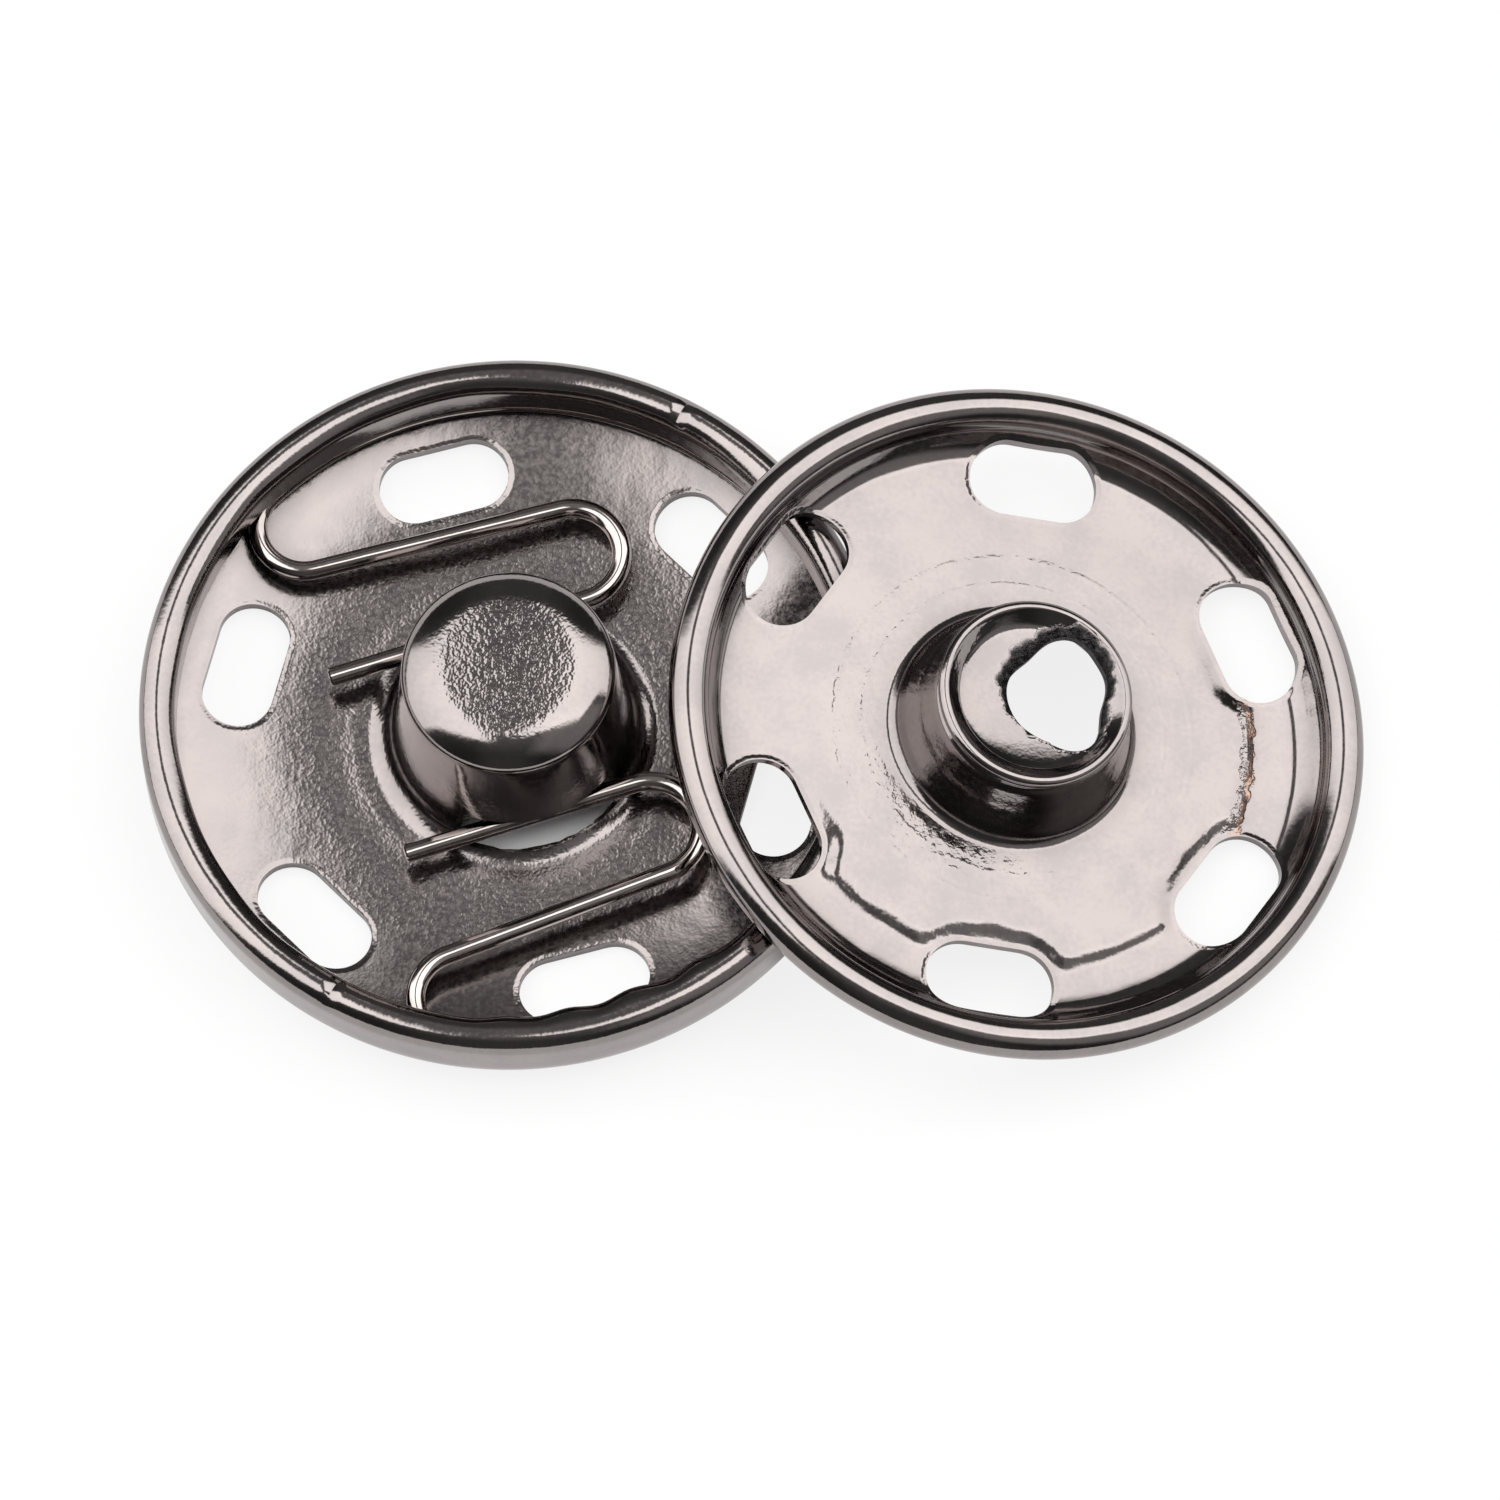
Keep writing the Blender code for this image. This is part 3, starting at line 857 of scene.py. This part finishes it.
def slot_burr(n, x, y, z, r, fine, slots):
    """1 at the slots' edges, 0 a little way off, and 0 above the disc."""
    edge = n.plus(slot_edge(n, x, y, r, slots), n.span(fine, 0.3, 0.7, -0.01, 0.01))
    return n.times(n.span(edge, 0.2, -0.02), n.span(z, 1.4, 1.2))


def plated(name, place, colour, rough, grain, matte=None, slots=None, burr=0.0, marks=None):
    """Dark nickel plating over pressed sheet, with drifting tone and fine grain. grain and burr,
    at the slots' edges, are heights in mm. matte is a function that gives how strong the grain
    is from place to place, and marks one that gives a colour, its factor and a height in mm."""
    material, n, shader = new_material(name)
    v, x, y, z, r = coordinates(n, place)
    cloud = n.noise(v, 0.4, 2, 0.6)
    fine = n.noise(v, 5.5, 1, 0.5)
    speck = n.noise(v, 11.0, 1, 0.5)
    dark = [c * t for c, t in zip(colour, (0.92, 0.925, 0.935))] + [1]
    light = [c * t for c, t in zip(colour, (1.06, 1.05, 1.04))] + [1]
    tone = n.plus(n.times(cloud, 0.7), n.times(fine, 0.3))
    base = n.mix(n.span(tone, 0.36, 0.64), dark, light)
    pebble = n.plus(n.times(fine, 0.8), n.times(speck, 0.2))
    level = n.span(pebble, 0.3, 0.7, rough - 0.02, rough + 0.05)
    level = n.times(level, n.span(z, 2.2, 3.2, 1.0, 0.6))
    amount = matte(n, z, r) if matte else 1.0
    height = n.plus(n.times(pebble, amount, grain), n.times(cloud, 0.03))
    if slots:
        height = n.plus(height, n.times(slot_burr(n, x, y, z, r, fine, slots), burr))
    if marks:
        tint, factor, more = marks(n, v, x, y, z, r)
        base = n.mix(factor, base, tint)
        height = n.plus(height, more)
    # Painted shade: the plating's colour runs to near-black in corners, under the wire and under
    # the curl
    n.link(n.mix(painted_crevice_shade(n), PAINTED_SHADE, base), shader.inputs["Base Color"])
    shader.inputs["Metallic"].default_value = 1.0
    n.link(level, shader.inputs["Roughness"])
    n.link(bump(n, height), shader.inputs["Normal"])
    return material


def socket_matte(n, z, r):
    """Grain: calm towards the rim and on the boss's shoulder, strong on its crown."""
    disc = n.span(r, 6.8, 9.3, 1.0, 0.3)
    crown = n.span(r, 2.95, 2.2, 0.2, 1.7)
    return n.plus(disc, n.times(n.span(z, 3.0, 4.5), n.minus(crown, disc)))


def stud_matte(n, z, r):
    return n.span(r, 8.2, 9.8, 1.0, 0.3)


def foot_wear(n, x, y, z, r, pits):
    """Height of the worn ring round the stud's foot, strongest at its lower left, and of two
    faint drawing rings."""
    disc = n.span(z, 1.0, 0.6)
    toward = n.plus(n.times(x, -0.85), n.times(y, -0.5))
    zone = n.times(n.span(r, 4.5, 4.9), n.span(r, 6.3, 5.9), disc)
    worn = n.times(zone, n.span(toward, -1.0, 5.0, 0.06, 1.0), 0.01)
    rings = n.plus(n.span(n.off(r, 6.15), 0.14, 0.0), n.span(n.off(r, 5.2), 0.1, 0.0))
    rings = n.times(rings, n.times(n.span(pits, 0.35, 0.6), disc), 0.008)
    return n.plus(n.times(n.span(pits, 0.34, 0.68), worn), rings)


def edge_scar(n, x, y, band):
    """1 on the scar at the right of the platform's edge."""
    angle = n.math("ARCTAN2", y, x)
    turn = n.span(n.off(angle, -0.05), 0.33, 0.26)
    return n.times(turn, n.times(n.span(band, 7.85, 7.98), n.span(band, 8.42, 8.3)))


def stud_marks(n, v, x, y, z, r):
    """The worn ring round the stud's foot, the scar at the platform's edge and the torn hole."""
    pits = n.noise(v, 2.4, 3, 0.6)
    band = n.plus(r, n.span(pits, 0.3, 0.7, -0.1, 0.1))
    scar = edge_scar(n, x, y, band)
    tear = n.add("ShaderNodeAttribute", attribute_name="torn").outputs["Fac"]
    scratch = n.times(scar, n.noise(v, 5.0, 2, 0.6), 0.055)
    rag = n.times(tear, n.noise(v, 4.0, 4, 0.75, 0.6), 0.35)
    height = n.plus(foot_wear(n, x, y, z, r, pits), scratch, rag)
    copper = n.times(scar, n.span(band, 8.1, 8.25, 0.0, 0.6))
    # A near-black colour is painted in a band round the torn hole, widest at its upper left
    hole_band_dark = n.times(n.span(tear, 0.15, 0.6), 0.8)
    tint = n.mix(n.span(tear, 0.05, 0.1), COPPER, HOLE_BAND_BLACK)
    return tint, n.math("MAXIMUM", copper, hole_band_dark), height


def give(obj, material):
    obj.data.materials.clear()
    obj.data.materials.append(material)


# Studio


def floor_distance(n, position, x, low, high):
    """0 within low of a point on the X axis and 1 beyond high."""
    away = n.add("ShaderNodeVectorMath", operation="DISTANCE")
    n.link(position, away.inputs[0])
    away.inputs[1].default_value = (x * MM, 0, 0)
    return n.span(away.outputs["Value"], low * MM, high * MM)


def floor_material():
    """Matt pale floor. Seen directly or in a reflection it glows nearly white, and keeps a soft
    shadow. Reflections see little of the glow under the two halves. Under the boss there is
    none."""
    material, n, shader = new_material("pale_floor")
    position = n.add("ShaderNodeTexCoord").outputs["Object"]
    tone = n.noise(position, 3.0, 2, 0.5)
    pale = n.mix(tone, (0.96, 0.96, 0.965, 1), (0.975, 0.975, 0.975, 1))
    n.link(pale, shader.inputs["Base Color"])
    shader.inputs["Roughness"].default_value = 0.9
    shader.inputs["Specular IOR Level"].default_value = 0.0
    rays = n.add("ShaderNodeLightPath").outputs
    beyond_socket = floor_distance(n, position, SOCKET_AT[0], 10.5, 12)
    beyond_stud = floor_distance(n, position, STUD_AT[0], 10.0, 11.5)
    beyond_boss = floor_distance(n, position, SOCKET_AT[0], 4.4, 5.0)
    open_floor = n.times(beyond_socket, beyond_stud)
    glossy = n.times(rays["Is Glossy Ray"], n.plus(0.2, n.times(open_floor, 0.8)))
    seen = n.math("MAXIMUM", rays["Is Camera Ray"], glossy)
    seen = n.math("MAXIMUM", seen, rays["Is Transmission Ray"])
    white = n.add("ShaderNodeEmission")
    white.inputs["Strength"].default_value = 1.0
    blend = n.add("ShaderNodeMixShader")
    n.link(n.times(seen, 0.84, beyond_boss), blend.inputs[0])
    n.link(shader.outputs[0], blend.inputs[1])
    n.link(white.outputs[0], blend.inputs[2])
    n.link(blend.outputs[0], n.tree.nodes["Material Output"].inputs["Surface"])
    return material


def build_floor():
    bm = bmesh.new()
    bmesh.ops.create_grid(bm, x_segments=8, y_segments=8, size=1.5)
    floor = object_of_bmesh("floor", bm)
    give(floor, floor_material())


def softbox(n, x, y, z, inner, near, far):
    """1 inside a softbox that starts at inner on its side, and lies between near and far."""
    level = n.span(x, n.plus(inner, -0.045), n.plus(inner, 0.045))
    level = n.times(level, n.span(n.minus(y, near), -0.05, 0.07))
    level = n.times(level, n.span(y, far + 0.05, far - 0.07))
    return n.times(level, n.span(z, 0.02, 0.12))


def build_world():
    """Two softboxes, left and right, with a dark strip between them and dark ends in front and
    behind, as in a small photo tent, and a faint light low at the front right."""
    world = bpy.data.worlds.new("tent")
    bpy.context.scene.world = world
    world.use_nodes = True
    n = Nodes(world.node_tree)
    x, y, z = n.split(n.add("ShaderNodeTexCoord").outputs["Generated"])
    left = softbox(n, n.times(x, -1), y, z, 0.155, -0.38, 0.52)
    inner = n.span(y, -0.1, 0.35, 0.015, 0.08)
    near = n.span(x, 0.68, 0.9, -0.2, 0.12)
    right = softbox(n, x, y, z, inner, near, 0.62)
    boxes = n.times(n.plus(left, right), n.span(z, 0.1, 0.9, 1.9, 2.5, "LINEAR"))
    front = n.span(y, -0.1, -0.75, 1.0, 0.35)
    back = n.span(y, 0.45, 0.75, 1.0, 0.4)
    strip = n.span(n.math("ABSOLUTE", x), 0.5, 0.1, 0.0, 0.13)
    plain = n.times(n.plus(0.12, strip), front, back)
    low = n.times(n.span(y, 0.1, -0.1), n.span(y, -0.8, -0.55))
    low = n.times(low, n.span(z, 0.1, 0.3), n.span(x, 0.15, 0.4, 0.0, 0.3))
    background = world.node_tree.nodes["Background"]
    background.inputs["Color"].default_value = (1.0, 0.99, 0.985, 1)
    n.link(n.plus(boxes, plain, low), background.inputs["Strength"])


def build_camera():
    data = bpy.data.cameras.new("camera")
    data.sensor_width = 36
    data.lens = CAMERA_LENS
    data.clip_start = 0.01
    data.clip_end = 20
    camera = new_object("camera", data)
    turn = Euler([math.radians(a) for a in CAMERA_TURN]).to_matrix()
    right, up, back = turn.transposed()
    target = Vector(SOCKET_AT) + right * CAMERA_AIM[0] + up * CAMERA_AIM[1]
    place = (target + back * CAMERA_AWAY) * MM
    camera.matrix_world = Matrix.Translation(place) @ turn.to_4x4()
    bpy.context.scene.camera = camera


def main():
    bpy.context.scene.view_settings.view_transform = "Standard"
    build_floor()
    build_world()
    build_camera()
    socket = build_socket()
    spring = build_spring()
    stud = build_stud()
    give(
        socket,
        plated(
            "socket_plating",
            SOCKET_PLACE,
            PLATING,
            rough=0.15,
            grain=0.0115,
            matte=socket_matte,
            slots=SOCKET_SLOTS,
            burr=-0.03,
        ),
    )
    give(
        stud,
        plated(
            "stud_plating",
            STUD_PLACE,
            PLATING,
            rough=0.08,
            grain=0.004,
            matte=stud_matte,
            slots=STUD_SLOTS,
            burr=0.035,
            marks=stud_marks,
        ),
    )
    give(spring, plated("spring_plating", SPRING_PLACE, WIRE_METAL, rough=0.05, grain=0.001))
    for obj, node, slot in (
        (socket, "socket_plate", "socket_metal"),
        (spring, "socket_spring", "spring_metal"),
        (stud, "stud_plate", "stud_metal"),
    ):
        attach(obj, "root")
        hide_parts(node)


main()
bpy.context.view_layer.update()
